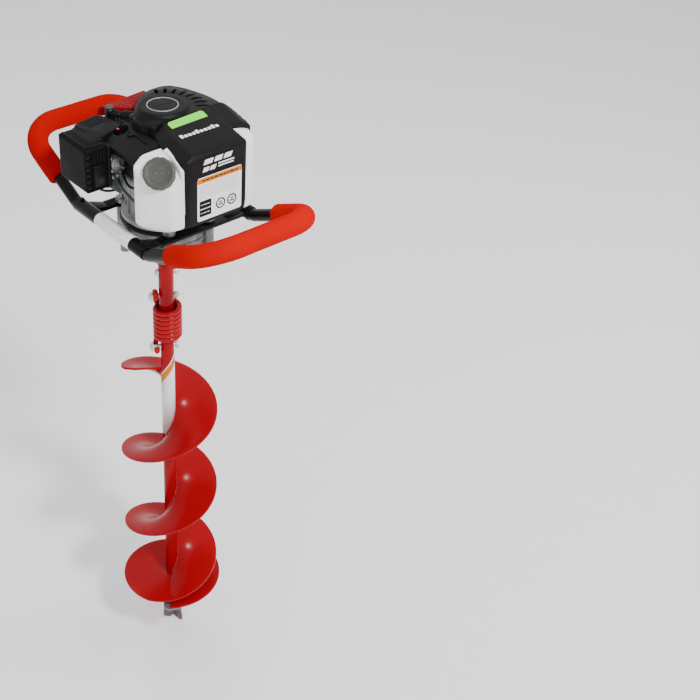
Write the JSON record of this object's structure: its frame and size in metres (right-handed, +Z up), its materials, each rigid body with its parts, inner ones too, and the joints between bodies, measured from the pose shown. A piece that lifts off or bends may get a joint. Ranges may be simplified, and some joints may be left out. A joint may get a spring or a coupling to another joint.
{
  "type": "earth and ice auger",
  "caption": "Petrol earth and ice auger: vertical-shaft engine in a wrap-round handle frame, gearbox, sprung coupler and screw bit with cutting blades.",
  "frame": {"origin": "on the drive axis, level with the handle frame's side tubes, where two hands hold the machine", "axes": "+Z up the drive axis, -Y the front with the engine's flat panel, +X to the right seen from the front"},
  "size_m": [0.2855, 0.5878, 1.2377],
  "materials": {
    "frame_black": "gloss black paint",
    "grip_red_front": "matt foam",
    "grip_red_rear": "matt foam",
    "paint_red": "gloss red paint",
    "cover_red": "satin",
    "cast_aluminium": "as cast",
    "plastic_black": "fine grain",
    "tank_white": "translucent moulded",
    "cap_grey": "satin",
    "steel": "zinc plated",
    "dark_steel": "dark, ground edges",
    "rubber_black": "matt",
    "foam_dark": "open foam",
    "primer_clear": "translucent",
    "switch_red": "satin"
  },
  "bodies": {
    "root": {"frame_tube_left": "frame_black", "frame_tube_right": "frame_black", "cross_bar_front": "frame_black", "cross_bar_rear": "frame_black", "handle_loop_front": "frame_black", "handle_loop_rear": "frame_black", "grip_front": "grip_red_front", "grip_rear": "grip_red_rear", "gearbox_upper": "cast_aluminium", "gearbox_lower": "cast_aluminium", "frame_bolt_1": "steel", "frame_bolt_2": "steel", "frame_bolt_3": "steel", "frame_bolt_4": "steel", "output_bearing": "steel", "crankcase": "cast_aluminium", "cylinder": "cast_aluminium", "cylinder_cover": "cover_red", "spark_plug": "steel", "plug_boot": "rubber_black", "muffler": "dark_steel", "carburetor": "cast_aluminium", "filter_base": "plastic_black", "filter_cover": "plastic_black", "filter_element": "foam_dark", "fuel_tank": "tank_white", "engine_shroud": "plastic_black", "recoil_cover": "plastic_black", "recoil_spring": "steel", "throttle_bracket": "plastic_black", "throttle_cable": "rubber_black"},
    "output": {"output_gear": "steel", "output_shaft": "steel", "coupler_collar": "paint_red", "collar_bolt": "steel", "upper_hook_bolt": "steel", "coupler_spring": "paint_red"},
    "bit": {"bit_shaft": "paint_red", "lower_hook_bolt": "steel", "bit_flight": "paint_red", "cutter_wing": "paint_red", "cutting_blade_1": "dark_steel", "cutting_blade_2": "dark_steel", "fishtail_point": "dark_steel"},
    "layshaft": {"layshaft": "steel"},
    "clutch_drum": {"clutch_drum": "steel"},
    "crank": {"crankshaft": "steel", "clutch_shoes": "steel", "flywheel": "cast_aluminium"},
    "connecting_rod": {"connecting_rod": "steel"},
    "piston": {"piston": "cast_aluminium"},
    "recoil_pulley": {"recoil_pulley": "plastic_black"},
    "starter_handle": {"starter_handle": "plastic_black"},
    "throttle_lever": {"throttle_lever": "plastic_black"},
    "throttle_arm": {"throttle_arm": "steel"},
    "choke_lever": {"choke_lever": "plastic_black"},
    "primer_bulb": {"primer_bulb": "primer_clear"},
    "stop_switch": {"stop_switch": "switch_red"},
    "fuel_cap": {"fuel_cap": "cap_grey"}
  },
  "joints": [
    {"name": "output_spin", "type": "hinge", "parent": "root", "child": "output", "pos_m": [0, 0, -0.1], "axis": [0, 0, 1], "continuous": true},
    {"name": "coupler_twist", "type": "hinge", "parent": "output", "child": "bit", "pos_m": [0, 0, -0.278], "axis": [0, 0, 1], "range_deg": [-25, 25], "stiffness_Nm_per_rad": 60, "deforming": ["coupler_spring"]},
    {"name": "layshaft_spin", "type": "hinge", "parent": "root", "child": "layshaft", "pos_m": [0, 0.04, -0.03], "axis": [0, 0, 1], "continuous": true},
    {"name": "clutch_drum_spin", "type": "hinge", "parent": "root", "child": "clutch_drum", "pos_m": [0, 0, 0], "axis": [0, 0, 1], "continuous": true},
    {"name": "crank_spin", "type": "hinge", "parent": "root", "child": "crank", "pos_m": [0, 0, 0.05], "axis": [0, 0, 1], "continuous": true},
    {"name": "rod_swing", "type": "hinge", "parent": "crank", "child": "connecting_rod", "pos_m": [0, 0.015, 0.106], "axis": [0, 0, 1], "continuous": true},
    {"name": "piston_stroke", "type": "slide", "parent": "root", "child": "piston", "axis": [0, -1, 0], "range_m": [0, 0.03]},
    {"name": "starter_pull", "type": "slide", "parent": "root", "child": "starter_handle", "axis": [-0.5524, 0.8336, 0], "range_m": [0, 0.45], "stiffness_N_per_m": 6, "springref_m": -0.2},
    {"name": "recoil_pulley_spin", "type": "hinge", "parent": "root", "child": "recoil_pulley", "pos_m": [0, 0, 0.178], "axis": [0, 0, 1], "range_deg": [0, 648]},
    {"name": "throttle_squeeze", "type": "hinge", "parent": "root", "child": "throttle_lever", "pos_m": [0.0835, 0.13634, 0.0119], "axis": [0, 0.425, -0.9052], "range_deg": [0, 18], "stiffness_Nm_per_rad": 0.5, "springref_deg": -22.92},
    {"name": "throttle_arm_turn", "type": "hinge", "parent": "root", "child": "throttle_arm", "pos_m": [-0.086, 0.033, 0.13], "axis": [0, 0, 1], "range_deg": [0, 63]},
    {"name": "choke_turn", "type": "hinge", "parent": "root", "child": "choke_lever", "pos_m": [-0.069, 0.0225, 0.15], "axis": [0, 0, 1], "range_deg": [0, 60]},
    {"name": "primer_press", "type": "slide", "parent": "root", "child": "primer_bulb", "axis": [0, 0, 1], "range_m": [0, 0.0022], "stiffness_N_per_m": 400, "springref_m": -0.0005},
    {"name": "stop_switch_press", "type": "slide", "parent": "root", "child": "stop_switch", "axis": [-1, 0, 0], "range_m": [0, 0.0015], "stiffness_N_per_m": 300},
    {"name": "fuel_cap_lift", "type": "slide", "parent": "root", "child": "fuel_cap", "axis": [-0.5194, -0.5993, 0.6092], "range_m": [0, 0.03]}
  ],
  "couplings": [
    {"joint": "layshaft_spin", "follows": "output_spin", "ratio": -5},
    {"joint": "clutch_drum_spin", "follows": "output_spin", "ratio": 20},
    {"joint": "rod_swing", "follows": "crank_spin", "ratio": -1},
    {"joint": "recoil_pulley_spin", "follows": "starter_pull", "rad_per_m": 25},
    {"joint": "throttle_arm_turn", "follows": "throttle_squeeze", "ratio": 3.5}
  ]
}
